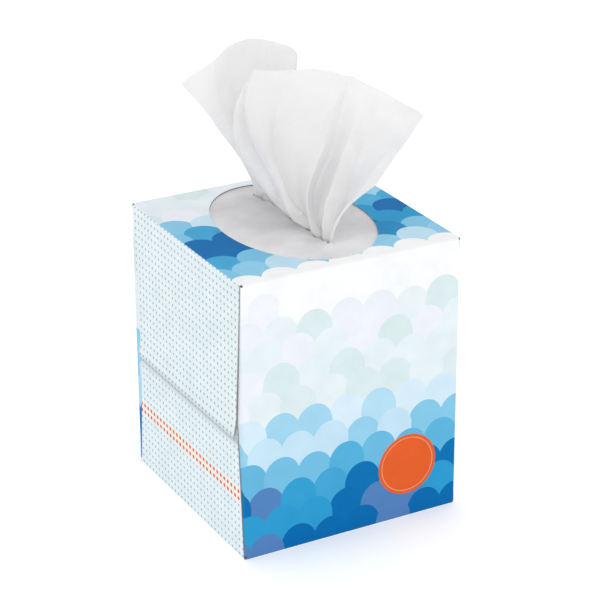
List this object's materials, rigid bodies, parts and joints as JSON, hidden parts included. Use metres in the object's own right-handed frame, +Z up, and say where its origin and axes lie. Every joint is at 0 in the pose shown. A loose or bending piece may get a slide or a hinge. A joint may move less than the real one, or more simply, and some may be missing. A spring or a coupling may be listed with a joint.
{
  "type": "tissue box",
  "caption": "Upright cube carton of facial tissues with an oval window of slit film in its top and a gathered tissue standing up through the slit.",
  "frame": {"origin": "on the table, under the middle of the carton", "axes": "+Z up, -Y out of the printed front panel, -X and +X out of the two glued ends"},
  "size_m": [0.1173, 0.11, 0.2146],
  "materials": {
    "printed_board": "satin",
    "film": "satin",
    "stack_tissue": "matte",
    "tissue": "matte"
  },
  "bodies": {
    "root": {"carton": "printed_board", "window_film": "film", "tissue_stack": "stack_tissue", "pop_up_tissue": "tissue"}
  },
  "joints": []
}
